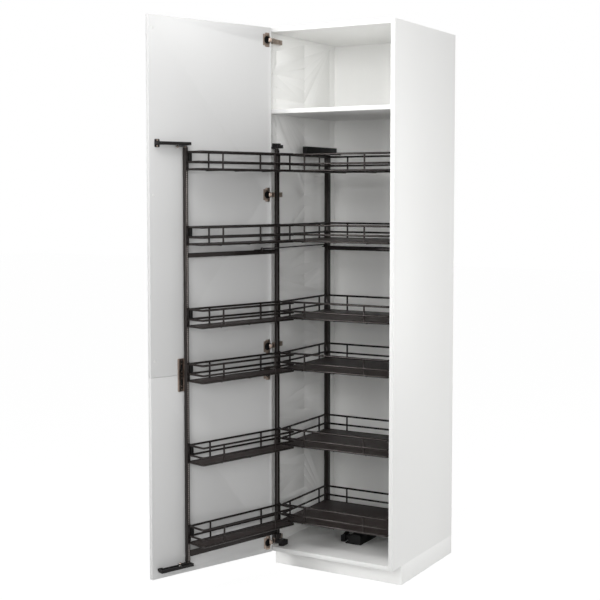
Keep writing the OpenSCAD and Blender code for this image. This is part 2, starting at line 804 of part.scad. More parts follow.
// a closed loop of wire, given between its centre lines
module wire_loop(low, high, z, r, d) {
  corners = [[high[0] - r, high[1] - r, 0], [low[0] + r, high[1] - r, 90],
             [low[0] + r, low[1] + r, 180], [high[0] - r, low[1] + r, 270]];
  for (c = corners) translate([c[0], c[1], z]) rotate([0, 0, c[2]])
    rotate_extrude(angle = 90) translate([r, 0]) circle(d = d);
  for (y = [low[1], high[1]]) translate([low[0] + r, y, z]) rotate([0, 90, 0])
    cylinder(d = d, h = high[0] - low[0] - 2*r);
  for (x = [low[0], high[0]]) translate([x, low[1] + r, z]) rotate([-90, 0, 0])
    cylinder(d = d, h = high[1] - low[1] - 2*r);
}

// the rails, posts, floor wires and hook plates of one basket
module guard(l, d, level, face, span, side_posts) {
  low = [-l/2 + wire_d/2, face + hook_t + wire_d/2 - wire_bite];
  high = [l/2 - wire_d/2, face + hook_t + d - wire_d/2];
  post_x = l*0.278;
  post_y = d*0.33;
  cross_x = l*0.3;
  hook_w = 14;
  hook_over = 5;
  mid_y = (low[1] + high[1])/2;
  translate([0, 0, level]) {
    for (z = [0, mid_wire_h, top_wire_h]) wire_loop(low, high, z, wire_bend, wire_d);
    for (x = [-1, 1]*post_x, y = [low[1], high[1]]) translate([x, y, 0])
      cylinder(d = post_wire_d, h = top_wire_h);
    if (side_posts) for (x = [low[0], high[0]], y = [-1, 1]*post_y)
      translate([x, mid_y + y, 0]) cylinder(d = post_wire_d, h = top_wire_h);
    for (x = [-1, 0, 1]*cross_x) translate([x, low[1], cross_wire_z])
      rotate([-90, 0, 0]) cylinder(d = cross_wire_d, h = high[1] - low[1]);
    for (x = [-1, 1]*span/2)
      block([x - hook_w/2, face, -hook_over],
            [x + hook_w/2, face + hook_t, top_wire_h + hook_over]);
  }
}

module tray(l, d, level, face) {
  edge = wire_d + seat_clear;
  seat = cross_wire_z + cross_wire_d/2 + seat_clear;
  translate([0, 0, level])
    round_block([-l/2 + edge, face + hook_t - wire_bite + edge, seat],
                [l/2 - edge, face + hook_t + d - edge, seat + tray_t],
                wire_bend - wire_d/2);
}

module swing_guard(i) {
  color(metal) on_swing()
    guard(swing_basket_l, swing_basket_d, level_z(i), swing_face, swing_span, false);
}

module swing_tray(i) {
  color(sheet) on_swing() tray(swing_basket_l, swing_basket_d, level_z(i), swing_face);
}

module inner_guard(i) {
  color(metal) on_inner()
    guard(inner_basket_l, inner_basket_d, level_z(i), inner_face, inner_span, true);
}

module inner_tray(i) {
  color(sheet) on_inner() tray(inner_basket_l, inner_basket_d, level_z(i), inner_face);
}

// ---------- coupling strut ----------

// a flat strut with an eye at each end, stepped aside so that it passes the pivot upright
module coupling_strut() {
  path = [[eye_d/2 - 2, 0], [strut_jog[0], 0], [strut_jog[1], -strut_step],
          [strut_l - eye_d/2 + 2, 0]];
  color(metal) at_origin() translate([crank_pin[0], crank_pin[1], strut_z - strut_t/2])
    rotate([0, 0, 90 - strut_angle]) {
      difference() {
        cylinder(d = eye_d, h = strut_t);
        translate([0, 0, -1]) cylinder(d = strut_pin_d + 2*pin_clear, h = strut_t + 2);
      }
      for (i = [1:3]) flat_bar(path[i-1], path[i], strut_w, strut_t);
      for (i = [1:2]) translate([path[i][0], path[i][1], 0])
        cylinder(d = strut_w + 0.4, h = strut_t);
      translate([strut_l, 0, 0]) cylinder(d = eye_d, h = strut_t);
    }
}

// ---------- inner frame ----------

module inner_upright(side) {
  color(metal) on_inner() translate([side*inner_span/2, 0, 0])
    upright(inner_post_w, inner_post_d, low_bar_z - 4, inner_post_top);
}

// the inner frame looks at the front, so its left is at the positive end
module inner_upright_left() { inner_upright(1); }

module inner_upright_right() { inner_upright(-1); }

// bars between the uprights, and the tab with the stub of the strut's rear eye
module inner_crossbars() {
  end = inner_span/2 - inner_post_w/2;
  tab_half = 10;
  tab_t = 4;
  bracket_z = mid_bar_z + mid_bar_h - 5;
  color(metal) on_inner() {
    block([-end, -inner_bar_d/2, low_bar_z], [end, inner_bar_d/2, low_bar_z + low_bar_h]);
    block([-end, -inner_bar_d/2, mid_bar_z], [end, inner_bar_d/2, mid_bar_z + mid_bar_h]);
    round_block([inner_span/2 - tab_half, inner_face, bracket_z],
                [inner_span/2 + tab_half, inner_face + strut_reach + 9, bracket_z + tab_t], 3);
    translate([inner_span/2, inner_face + strut_reach, bracket_z + tab_t])
      cylinder(d = 9, h = strut_z - strut_t/2 - slide_clear - bracket_z - tab_t);
  }
}

// a strip on the left upright, with the slider that runs in the top guide
module top_runner() {
  x = inner_span/2;
  top = inner_post_top + runner_t;
  color(black) on_inner() {
    round_block([x - 9, -inner_face, inner_post_top], [x + 9, runner_l, top], 4);
    block([x - 3, slider_end - slider_l, top], [x + 3, slider_end, top + 6]);
    round_block([x - slider_w/2, slider_end - slider_l, top + 6],
                [x + slider_w/2, slider_end, top + 6 + slider_h], 3);
  }
}

// a downward channel on two arms from the cabinet's side, with a tongue at its rear
module top_guide() {
  arm_w = 40;
  arm_inset = 26;
  arm_ys = [guide_start + 80, guide_end - arm_w - 14];
  color(black) at_origin() {
    difference() {
      block([guide_x - guide_w/2, guide_start, guide_z],
            [guide_x + guide_w/2, guide_end, guide_z + guide_h]);
      block([guide_x - guide_slot_w/2, guide_start + arm_inset, guide_z - 1],
            [guide_x + guide_slot_w/2, guide_end + 1, guide_z + guide_h - guide_wall]);
    }
    for (y = arm_ys)
      block([-inner_half_w, y, guide_z + 6], [guide_x - guide_w/2, y + arm_w, guide_z + guide_h - 4]);
    block([guide_x + guide_slot_w/2, guide_end, guide_z],
          [guide_x + guide_w/2, guide_end + tongue_l, guide_z + 3]);
  }
}

// an upward channel on the cabinet's bottom, with a stepped housing over its front end
module floor_guide() {
  slot_start = inner_post_y - carriage_l - 8.5;
  foot = [13, 5];
  shoulder = [12, 34];
  chamfer = [5, 7];
  color(black) at_origin() difference() {
    union() {
      block([floor_mid - floor_rail_w/2, house_front + 10, floor_z],
            [floor_mid + floor_rail_w/2, back_y - 5, floor_z + floor_rail_h]);
      translate([0, house_front, floor_z]) rotate([-90, 0, 0]) linear_extrude(house_l)
        polygon([[house_x[0] - foot[0], 0], [house_x[0] - foot[0], -foot[1]],
                 [house_x[0], -foot[1]], [house_x[0], -shoulder[1]],
                 [house_x[0] + shoulder[0], -shoulder[1]], [house_x[0] + shoulder[0], -house_h],
                 [house_x[1] - chamfer[0], -house_h], [house_x[1], chamfer[1] - house_h],
                 [house_x[1], 0]]);
    }
    block([floor_mid - floor_slot_w/2, slot_start, floor_z + floor_base_t],
          [floor_mid + floor_slot_w/2, back_y - 9, floor_z + house_h + 1]);
  }
}

// the soft-close damper, hung on the housing beside its front end
module floor_damper() {
  body = [house_x[0] - 35, house_x[0] - 15];
  color(black) at_origin() translate([0, house_front, floor_z]) {
    rotate([-90, 0, 0]) linear_extrude(40)
      polygon([[body[0] + 4, -4], [body[1] - 3, -5], [body[1], -8], [body[1], -50],
               [body[0] + 11, -39], [body[0], -32], [body[0], -5]]);
    block([body[1] - 1, 14, 14], [house_x[0], 36, 32]);
  }
}

// slides in the floor guide and carries the inner frame's lower crossbar
module floor_carriage() {
  front = inner_post_y - carriage_l;
  neck_w = 16;
  block_w = 40;
  block_front = inner_post_y - inner_bar_d/2 - 30;
  sled_top = floor_z + floor_rail_h - 4;
  neck_top = floor_z + house_h + 1;
  color(black) at_origin() {
    block([floor_mid - floor_slot_w/2 + slide_clear, front, floor_z + floor_base_t + 0.3],
          [floor_mid + floor_slot_w/2 - slide_clear, inner_post_y, sled_top]);
    block([floor_mid - neck_w/2, front, sled_top], [floor_mid + neck_w/2, inner_post_y, neck_top]);
    block([floor_mid - block_w/2, block_front, neck_top],
          [floor_mid + block_w/2, inner_post_y + inner_bar_d/2, low_bar_z]);
  }
}

side_panel_left();
side_panel_right();
top_panel();
bottom_panel();
fixed_shelf();
back_panel();
wall_fixing_rail();
plinth_front();
plinth_sides();
legs();
hinge_arms();
swing_bracket_top();
swing_bracket_bottom();
top_guide();
floor_guide();
floor_damper();
front_upper();
front_lower();
front_connector();
hinge_cups();
front_rails();
rail_brackets();
front_bumpers();
hinge_links();
rail_levers();
rail_rollers();
swing_upright_outer();
swing_upright_pivot();
swing_crossbars();
swing_pins();
coupling_strut();
inner_upright_left();
inner_upright_right();
inner_crossbars();
top_runner();
floor_carriage();
for (i = [1:6]) {
  swing_guard(i);
  swing_tray(i);
  inner_guard(i);
  inner_tray(i);
}
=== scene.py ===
"""Looks of a pull out larder unit: a tall white cabinet that stands open."""
import json
import math
import bmesh
import bpy
from mathutils import Matrix, Vector

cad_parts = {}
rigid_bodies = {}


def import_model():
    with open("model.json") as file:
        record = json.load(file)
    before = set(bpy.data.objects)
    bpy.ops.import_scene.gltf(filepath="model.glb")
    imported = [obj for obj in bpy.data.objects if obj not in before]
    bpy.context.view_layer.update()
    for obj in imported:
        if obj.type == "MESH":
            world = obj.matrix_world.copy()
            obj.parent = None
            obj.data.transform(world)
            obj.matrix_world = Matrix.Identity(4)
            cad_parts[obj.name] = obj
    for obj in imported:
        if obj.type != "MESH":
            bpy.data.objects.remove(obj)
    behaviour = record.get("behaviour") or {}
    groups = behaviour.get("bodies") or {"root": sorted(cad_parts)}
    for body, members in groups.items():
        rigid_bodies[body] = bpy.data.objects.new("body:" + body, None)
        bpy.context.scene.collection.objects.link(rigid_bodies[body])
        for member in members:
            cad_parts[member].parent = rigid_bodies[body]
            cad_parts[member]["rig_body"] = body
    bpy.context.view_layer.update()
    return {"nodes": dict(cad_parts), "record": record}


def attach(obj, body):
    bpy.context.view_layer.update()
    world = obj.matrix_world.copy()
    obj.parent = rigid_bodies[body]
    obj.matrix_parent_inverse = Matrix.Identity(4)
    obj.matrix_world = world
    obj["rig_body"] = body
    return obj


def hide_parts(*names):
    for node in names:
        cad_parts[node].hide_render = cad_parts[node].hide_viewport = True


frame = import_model()


# ---------------------------------------------------------------- materials

class Socket:
    """An output of a node, with arithmetic that adds Math nodes."""

    def __init__(self, finish, output):
        self.finish = finish
        self.output = output

    def maths(self, operation, *values):
        sockets = dict(enumerate(values))
        return self.finish.node("ShaderNodeMath", {"operation": operation}, sockets)

    def __add__(self, other):
        return self.maths("ADD", self, other)

    def __mul__(self, other):
        return self.maths("MULTIPLY", self, other)


class Finish:
    """A material that is being made, with its Principled shader."""

    def __init__(self, name, **fixed):
        self.material = bpy.data.materials.new(name)
        self.material.use_nodes = True
        self.tree = self.material.node_tree
        self.shader = self.tree.nodes["Principled BSDF"]
        self.put(**fixed)

    def fill(self, socket, value):
        if isinstance(value, Socket):
            self.tree.links.new(value.output, socket)
        else:
            socket.default_value = value

    def node(self, kind, settings, sockets, output=0):
        """Adds a node with its settings, fills its sockets and gives one output."""
        made = self.tree.nodes.new(kind)
        for name, value in settings.items():
            setattr(made, name, value)
        for name, value in sockets.items():
            self.fill(made.inputs[name], value)
        return Socket(self, made.outputs[output])

    def put(self, **sockets):
        """Sets the shader's sockets, named with underscores in place of spaces."""
        for name, value in sockets.items():
            self.fill(self.shader.inputs[name.replace("_", " ")], value)

    def place(self, stretch=(1, 1, 1)):
        """Object coordinates in metres, stretched along each axis."""
        plain = self.node("ShaderNodeTexCoord", {}, {}, 3)
        return self.node("ShaderNodeMapping", {}, {"Vector": plain, "Scale": stretch})

    def noise(self, scale, detail, stretch=(1, 1, 1)):
        """Soft noise from 0 to 1 that has about this many lumps per metre."""
        return self.node("ShaderNodeTexNoise", {"noise_dimensions": "3D"},
                         {"Vector": self.place(stretch), "Scale": scale, "Detail": detail})

    def blend(self, factor, low, high):
        """A colour between two colours."""
        return self.node("ShaderNodeMix", {"data_type": "RGBA"},
                         {0: factor, 6: (*low, 1.0), 7: (*high, 1.0)}, 2)

    def bump(self, height, strength, depth):
        return self.node("ShaderNodeBump", {},
                         {"Strength": strength, "Distance": depth, "Height": height})


def board(name, light, dark, roughness):
    """Melamine-faced board: almost flat white with a fine pressed grain."""
    finish = Finish(name, Specular_IOR_Level=0.45)
    cloud = finish.noise(3.0, 2.0)
    grain = finish.noise(1400.0, 2.0)
    finish.put(Base_Color=finish.blend(cloud, dark, light),
               Roughness=cloud * 0.06 + roughness,
               Normal=finish.bump(grain, 0.12, 0.0002))
    return finish.material


def powder_coat(name, light, dark, metallic, roughness, gloss):
    """Powder-coated steel: fine orange peel and a slightly uneven gloss."""
    finish = Finish(name, Specular_IOR_Level=gloss)
    cloud = finish.noise(22.0, 3.0)
    peel = finish.noise(1100.0, 2.0)
    finish.put(Base_Color=finish.blend(cloud, dark, light), Metallic=metallic,
               Roughness=peel * 0.10 + roughness,
               Normal=finish.bump(peel, 0.25, 0.0003))
    return finish.material


def faced_sheet(name, light, dark):
    """Dark faced board: a fine streaky print along its length and a matt skin."""
    finish = Finish(name, Specular_IOR_Level=0.25)
    streak = finish.noise(160.0, 4.0, (0.25, 1.0, 1.0))
    fine = finish.noise(1500.0, 2.0)
    finish.put(Base_Color=finish.blend(streak, dark, light),
               Roughness=streak * 0.12 + 0.42,
               Normal=finish.bump(fine, 0.15, 0.0002))
    return finish.material


def moulded(name, light, dark, roughness, gloss=0.5):
    """Moulded plastic with a fine eroded skin."""
    finish = Finish(name, Specular_IOR_Level=gloss)
    cloud = finish.noise(60.0, 2.0)
    skin = finish.noise(2200.0, 3.0)
    finish.put(Base_Color=finish.blend(cloud, dark, light),
               Roughness=skin * 0.15 + roughness,
               Normal=finish.bump(skin, 0.3, 0.0002))
    return finish.material


def plated(name, light, dark):
    """Nickel plating on pressed steel, with faint drawing lines and stains."""
    finish = Finish(name)
    lines = finish.noise(900.0, 3.0, (1.0, 1.0, 0.06))
    stain = finish.noise(90.0, 3.0)
    finish.put(Base_Color=finish.blend(stain, dark, light), Metallic=1.0,
               Roughness=lines * 0.18 + 0.20,
               Normal=finish.bump(lines, 0.12, 0.0002))
    return finish.material


finishes = {
    "white_board": board("white_board", (0.92, 0.92, 0.905), (0.905, 0.905, 0.89), 0.42),
    # the same white board made darker: painted shade on the boards' front edges, which face
    # the lamps
    "white_edge_painted_shade": board("white_edge_painted_shade", (0.76, 0.76, 0.75), (0.745, 0.745, 0.735), 0.42),
    # the fronts are as white as the cabinet; this grey is painted shade for the shade that
    # falls on the open fronts
    "white_front": board("white_front", (0.64, 0.64, 0.636), (0.627, 0.627, 0.623), 0.40),
    "dark_metal": powder_coat("dark_metal", (0.028, 0.023, 0.0215), (0.017, 0.014, 0.013),
                              metallic=0.40, roughness=0.17, gloss=0.25),
    "dark_sheet": faced_sheet("dark_sheet", (0.048, 0.035, 0.032), (0.016, 0.012, 0.0115)),
    "black_metal": powder_coat("black_metal", (0.010, 0.009, 0.009), (0.006, 0.005, 0.005),
                               metallic=0.1, roughness=0.36, gloss=0.2),
    "black_plastic": moulded("black_plastic", (0.008, 0.008, 0.008), (0.004, 0.004, 0.004),
                             roughness=0.42, gloss=0.15),
    "nickel": plated("nickel", (0.40, 0.33, 0.28), (0.26, 0.20, 0.165)),
    "rack_steel": plated("rack_steel", (0.26, 0.235, 0.22), (0.19, 0.17, 0.16)),
    "pale_plastic": moulded("pale_plastic", (0.78, 0.77, 0.73), (0.72, 0.71, 0.67), 0.30),
    "soft_pad": moulded("soft_pad", (0.74, 0.74, 0.73), (0.68, 0.68, 0.67), 0.25),
}

slots = {entry["node"]: entry["material_slot"] for entry in frame["record"]["subparts"]}
for node, slot in slots.items():
    for holder in frame["nodes"][node].material_slots:
        holder.material = finishes[slot]


# ---------------------------------------------------------------- places

MM = 0.001


class Place:
    """A corner on the plan and a turn about the vertical, reached by millimetres."""

    def __init__(self, x, y, degrees):
        self.corner = Vector((x, y, 0))
        self.turn = Matrix.Rotation(math.radians(degrees), 3, "Z")

    def point(self, along, out, up):
        return (self.corner + self.turn @ Vector((along, out, up))) * MM

    def way(self, along, out, up):
        return self.turn @ Vector((along, out, up))

    def out_of(self, point):
        """How many millimetres a point stands out of this place's face."""
        return (point / MM - self.corner) @ self.way(0, 1, 0)


# the cabinet's front edge, the open front's hinge edge, the pivot of the swing frame
# and the middle of the inner frame, each with its own along and out
cabinet = Place(0, -93, 0)
front = Place(-259, -107, -110)
swing = Place(-254, -71, -106.1)
inner = Place(16, 329.5, 180)

hinge_ups = (2227, 1591, 958, 846, 123)
basket_ups = (1690, 1398, 1076, 860, 537, 212)
hook_screw_rises = (14, 47.5)  # over a shelf's level
cup_along = 21                 # from the front's hinge edge to the middle of its cups
joint_up = 880                 # the joint between the two fronts
connector_along = 455.25
inner_foot, outer_foot = 439, 562  # along the front to the feet of its rails
low_rail_up, high_rail_up = 118, 1790
swing_span = 484               # from the swing frame's pivot to its outer upright
inner_reach = 250              # from the inner frame's middle to its uprights
wire_growth = 0.8


# ---------------------------------------------------------------- modelling by hand

def put_down():
    """Leaves edit mode and deselects everything."""
    if bpy.context.mode != "OBJECT":
        bpy.ops.object.mode_set(mode="OBJECT")
    bpy.ops.object.select_all(action="DESELECT")


def take(piece):
    """Makes one piece the only one that is selected."""
    put_down()
    piece.select_set(True)
    bpy.context.view_layer.objects.active = piece


def edit(piece, kind="FACE"):
    """Opens a piece for editing with nothing selected."""
    take(piece)
    bpy.ops.object.mode_set(mode="EDIT")
    bpy.ops.mesh.select_mode(type=kind)
    bpy.ops.mesh.select_all(action="DESELECT")


def pick_faces(piece, wanted):
    """Selects the faces whose middle and normal are wanted."""
    mesh = bmesh.from_edit_mesh(piece.data)
    for face in mesh.faces:
        face.select_set(wanted(face.calc_center_median(), face.normal))
    bmesh.update_edit_mesh(piece.data)


def pick_edges(piece, wanted):
    """Selects the edges whose two ends are wanted."""
    mesh = bmesh.from_edit_mesh(piece.data)
    for edge in mesh.edges:
        edge.select_set(wanted(edge.verts[0].co, edge.verts[1].co))
    bmesh.update_edit_mesh(piece.data)


def apply_modifier(piece, kind, **settings):
    take(piece)
    modifier = piece.modifiers.new("work", kind)
    for name, value in settings.items():
        setattr(modifier, name, value)
    bpy.ops.object.modifier_apply(modifier="work")


def smooth(piece, degrees=25):
    take(piece)
    bpy.ops.object.shade_smooth_by_angle(angle=math.radians(degrees))


def seat(piece, name, slot, body, *nodes, finish=None):
    """Names a finished piece, gives it a finish and a body, and hides what it replaces."""
    take(piece)
    bpy.ops.object.transform_apply(location=True, rotation=True, scale=True)
    piece.name = name
    piece.data.name = name
    piece.data.materials.clear()
    piece.data.materials.append(finishes[finish or slot])
    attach(piece, body)
    if nodes:
        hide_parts(*nodes)


def merged_copy(node):
    """A copy of a CAD node whose loose triangles are joined, open for editing."""
    copy = bpy.data.objects.new(node + "_soft", frame["nodes"][node].data.copy())
    bpy.context.collection.objects.link(copy)
    take(copy)
    bpy.ops.mesh.customdata_custom_splitnormals_clear()
    bpy.ops.object.mode_set(mode="EDIT")
    bpy.ops.mesh.select_all(action="SELECT")
    bpy.ops.mesh.remove_doubles(threshold=0.00001)
    return copy


def pick_points(piece, wanted):
    """Selects the points that are wanted, with what lies between them."""
    bpy.ops.mesh.select_mode(type="VERT")
    bpy.ops.mesh.select_all(action="DESELECT")
    mesh = bmesh.from_edit_mesh(piece.data)
    for point in mesh.verts:
        point.select_set(wanted(point.co))
    mesh.select_flush_mode()
    bmesh.update_edit_mesh(piece.data)


def close_joint(copy, edge, move):
    """Moves a front's edge at the joint between the fronts towards the other front."""
    pick_points(copy, lambda co: abs(co.z - edge * MM) < 0.5 * MM)
    bpy.ops.transform.translate(value=(0, 0, move * MM))


def shorten_feet(copy):
    """Lowers the rail's feet so that the rail hides all but the upper outer one."""
    for along, up in ((inner_foot, high_rail_up), (inner_foot, low_rail_up),
                      (outer_foot, low_rail_up)):
        foot = front.point(along, 1.5, up)
        pick_points(copy, lambda co: (co - foot).length < 21 * MM)
        bpy.ops.transform.resize(value=(1, 1, 0.36), center_override=foot)


def soften(node, rounding):
    """A copy of a CAD node whose sharp edges are rounded by some millimetres."""
    copy = merged_copy(node)
    if node == "front_upper":
        close_joint(copy, joint_up + 1.5, -1.1)
    if node == "front_lower":
        close_joint(copy, joint_up - 1.5, 1.1)
    if node == "rail_brackets":
        shorten_feet(copy)
    bpy.ops.mesh.select_all(action="SELECT")
    bpy.ops.mesh.dissolve_limited(angle_limit=math.radians(0.5))
    bpy.ops.object.mode_set(mode="OBJECT")
    apply_modifier(copy, "BEVEL", width=rounding * MM, segments=2, limit_method="ANGLE",
                   angle_limit=math.radians(35))
    smooth(copy)
    seat(copy, node + "_soft", slots[node], frame["nodes"][node]["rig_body"], node)


def second_finish(node, finish, wanted):
    """Gives the wanted faces of a softened node a finish of their own."""
    mesh = bpy.data.objects[node + "_soft"].data
    mesh.materials.append(finishes[finish])
    for face in mesh.polygons:
        if wanted(face.center, face.normal):
            face.material_index = 1


def is_front_edge(middle, normal):
    """Whether a face is the front edge of a board, which gets the darker white of painted
    shade.
    """
    return normal.y < -0.9 and middle.y < cabinet.point(0, 25, 0).y


def is_in_cup(middle, normal):
    """Whether a face lies inside a hinge cup, behind the front's inner face."""
    return front.out_of(middle) < -0.5


def plump(node, growth):
    """A copy of a wire rack whose wires are a little rounder and fuller than its solid."""
    copy = merged_copy(node)
    bpy.ops.transform.shrink_fatten(value=growth * MM)
    smooth(copy, 50)
    seat(copy, node + "_soft", slots[node], frame["nodes"][node]["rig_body"], node)


roundings = {
    "side_panel_left": 0.8, "side_panel_right": 0.8, "top_panel": 0.8, "bottom_panel": 0.8,
    "fixed_shelf": 0.8, "plinth_front": 0.8, "plinth_sides": 0.8, "wall_fixing_rail": 0.6,
    "front_upper": 1.0, "front_lower": 1.0, "hinge_arms": 0.35, "hinge_cups": 0.3,
    "hinge_links": 0.4, "swing_bracket_top": 0.6, "swing_bracket_bottom": 0.6,
    "top_guide": 0.8, "floor_guide": 0.8, "floor_damper": 1.0, "floor_carriage": 0.6,
    "top_runner": 0.5, "front_connector": 0.5, "front_rails": 0.6, "rail_brackets": 0.5,
    "rail_levers": 0.5, "rail_rollers": 0.6, "front_bumpers": 0.5, "swing_upright_outer": 0.5,
    "swing_upright_pivot": 0.5, "swing_crossbars": 0.4, "swing_pins": 0.3,
    "coupling_strut": 0.6, "inner_upright_left": 0.5, "inner_upright_right": 0.5,
    "inner_crossbars": 0.5, "legs": 0.6,
}
for i in range(1, 7):
    roundings[f"swing_tray_{i}"] = 0.6
    roundings[f"inner_tray_{i}"] = 0.6
    plump(f"swing_guard_{i}", wire_growth)
    plump(f"inner_guard_{i}", wire_growth)
for node, rounding in roundings.items():
    soften(node, rounding)
# the boards' front edges take the darker white, painted shade
for node in ("side_panel_left", "side_panel_right", "top_panel", "bottom_panel",
             "fixed_shelf"):
    second_finish(node, "white_edge_painted_shade", is_front_edge)
# the insides of the hinge cups turn black: partly the dark damper in each cup, partly painted
# shade in their hollows
second_finish("hinge_cups", "black_plastic", is_in_cup)


# ---------------------------------------------------------------- screws

def pan_head(radius, height, slot_w):
    """A screw head with a cross recess, looking up from the origin."""
    put_down()
    bpy.ops.mesh.primitive_cylinder_add(vertices=20, radius=radius, depth=height,
                                        location=(0, 0, height / 2))
    head = bpy.context.object
    bpy.ops.object.transform_apply(location=True)
    edit(head, "EDGE")
    pick_edges(head, lambda a, b: min(a.z, b.z) > height * 0.9)
    bpy.ops.mesh.bevel(offset=height * 0.6, segments=3)
    put_down()
    bpy.ops.mesh.primitive_cube_add(size=1, location=(0, 0, height),
                                    scale=(radius * 1.1, slot_w, height * 0.9))
    cutter = bpy.context.object
    bpy.ops.object.transform_apply(location=True, scale=True)
    edit(cutter)
    bpy.ops.mesh.select_all(action="SELECT")
    bpy.ops.mesh.duplicate()
    bpy.ops.transform.rotate(value=math.radians(90), orient_axis="Z",
                             center_override=(0, 0, height))
    apply_modifier(head, "BOOLEAN", object=cutter, operation="DIFFERENCE", solver="EXACT",
                   use_self=True)
    bpy.data.objects.remove(cutter)
    smooth(head, 40)
    return head


def scatter(model, name, slot, body, places):
    """Copies a model to points, turned from up to a way each, as one piece."""
    copies = []
    for point, way in places:
        copy = bpy.data.objects.new(name, model.data.copy())
        bpy.context.collection.objects.link(copy)
        copy.location = point
        copy.rotation_euler = way.to_track_quat("Z", "Y").to_euler()
        copies.append(copy)
    put_down()
    for copy in copies:
        copy.select_set(True)
    bpy.context.view_layer.objects.active = copies[0]
    bpy.ops.object.transform_apply(location=True, rotation=True)
    bpy.ops.object.join()
    seat(copies[0], name, slot, body)


face_out = front.way(0, 1, 0)
to_room = swing.way(0, 1, 0)
to_front = inner.way(0, 1, 0)
to_right = Vector((1, 0, 0))
upwards = Vector((0, 0, 1))

cup_head = pan_head(3.6 * MM, 1.4 * MM, 0.9 * MM)
scatter(cup_head, "cup_screws", "nickel", "front",
        [(front.point(cup_along, 0.9, up + side * 24), face_out)
         for up in hinge_ups for side in (-1, 1)])
arm_head = pan_head(3.0 * MM, 0.8 * MM, 0.8 * MM)
scatter(arm_head, "arm_screws", "nickel", "cabinet",
        [(cabinet.point(-267.0, y, up), to_right) for up in hinge_ups for y in (30.9, 62.9)])
plate_head = pan_head(3.8 * MM, 1.6 * MM, 1.0 * MM)
scatter(plate_head, "plate_screws", "nickel", "cabinet",
        [(cabinet.point(-279, 92, up), to_right) for up in hinge_ups]
        + [(cabinet.point(-279, y, 1796), to_right) for y in (52, 67)]
        + [(cabinet.point(-239, 59, 118), upwards)])
scatter(plate_head, "rail_bracket_screws", "nickel", "front",
        [(front.point(outer_foot, 3, high_rail_up + side * 11), face_out)
         for side in (-1, 1)])
scatter(cup_head, "connector_screws", "black_metal", "front",
        [(front.point(connector_along, 3, joint_up + rise), face_out)
         for rise in (-51, -6, 6, 51)])
hook_head = pan_head(3.4 * MM, 1.5 * MM, 0.9 * MM)
scatter(hook_head, "swing_hook_screws", "black_metal", "swing_frame",
        [(swing.point(along, 12, level + rise), to_room)
         for along in (0, swing_span) for level in basket_ups for rise in hook_screw_rises])
scatter(hook_head, "inner_hook_screws", "black_metal", "inner_frame",
        [(inner.point(along, 15.5, level + rise), to_front)
         for along in (-inner_reach, inner_reach) for level in basket_ups
         for rise in hook_screw_rises])
# the nuts under the rollers, at the levers' far ends
roller_nut = pan_head(4.2 * MM, 5.0 * MM, 1.0 * MM)
roller_axis = Vector((-401.3, -568.5, 0)) * MM
scatter(roller_nut, "roller_nuts", "nickel", "lever_pair",
        [(roller_axis + upwards * 1778 * MM, -upwards),
         (roller_axis + upwards * 130 * MM, upwards)])
for model in (cup_head, arm_head, plate_head, hook_head, roller_nut):
    bpy.data.objects.remove(model)


# ---------------------------------------------------------------- caps, and black slot plates of painted shade

def rounded_plate(place, along, out, up, size, corner, edge):
    """A small moulded plate with round corners, from a cube that is bevelled twice."""
    put_down()
    bpy.ops.mesh.primitive_cube_add(size=1, scale=[value * MM for value in size])
    plate = bpy.context.object
    bpy.ops.object.transform_apply(scale=True)
    thin = size.index(min(size))
    edit(plate, "EDGE")
    pick_edges(plate, lambda a, b: abs(a[thin] - b[thin]) > 0.5 * min(size) * MM)
    bpy.ops.mesh.bevel(offset=corner * MM, segments=5)
    edit(plate)
    pick_faces(plate, lambda middle, normal: abs(normal[thin]) > 0.9)
    bpy.ops.mesh.inset(thickness=edge * MM)
    put_down()
    apply_modifier(plate, "BEVEL", width=edge * 0.6 * MM, segments=2, limit_method="ANGLE",
                   angle_limit=math.radians(50))
    plate.location = place.point(along, out, up)
    plate.rotation_euler = place.turn.to_euler()
    smooth(plate, 40)
    return plate


def cup_plate(name, up):
    """A hinge cup's flange, cut open over the cup."""
    plate = rounded_plate(front, 27, 0.75, up, (32, 1.3, 46), 2.5, 0.5)
    put_down()
    bpy.ops.mesh.primitive_cylinder_add(vertices=48, radius=15.6 * MM, depth=8 * MM,
                                        location=front.point(cup_along, 0.75, up))
    mouth = bpy.context.object
    mouth.rotation_euler = face_out.to_track_quat("Z", "Y").to_euler()
    apply_modifier(plate, "BOOLEAN", object=mouth, operation="DIFFERENCE", solver="EXACT")
    bpy.data.objects.remove(mouth)
    smooth(plate, 40)
    seat(plate, name, "nickel", "front")


for name, side, up in (("cap_right_top", -1, 1763.2), ("cap_right_low", -1, 148.8),
                       ("cap_left_low", 1, 148.8)):
    seat(rounded_plate(inner, side * inner_reach, 0, up, (20.4, 25.4, 2.4), 3.0, 1.0),
         name, "black_plastic", "inner_frame")
for i, level in enumerate(basket_ups, 1):
    seat(rounded_plate(swing, 471.5, 14.2, level + 48, (11, 10.4, 42), 3.4, 1.2),
         f"hook_clip_{i}", "black_plastic", "swing_frame")
for i, up in enumerate(hinge_ups, 1):
    cup_plate(f"cup_plate_{i}", up)
# black plates in the connector's two slots: painted shade where the slots would show the
# white front
for name, rise in (("slot_painted_shade_high", 28.5), ("slot_painted_shade_low", -28.5)):
    seat(rounded_plate(front, connector_along, 1.2, joint_up + rise, (7.6, 1.8, 26.6),
                       3.6, 0.5),
         name, "black_plastic", "front")


# ---------------------------------------------------------------- collars and rack

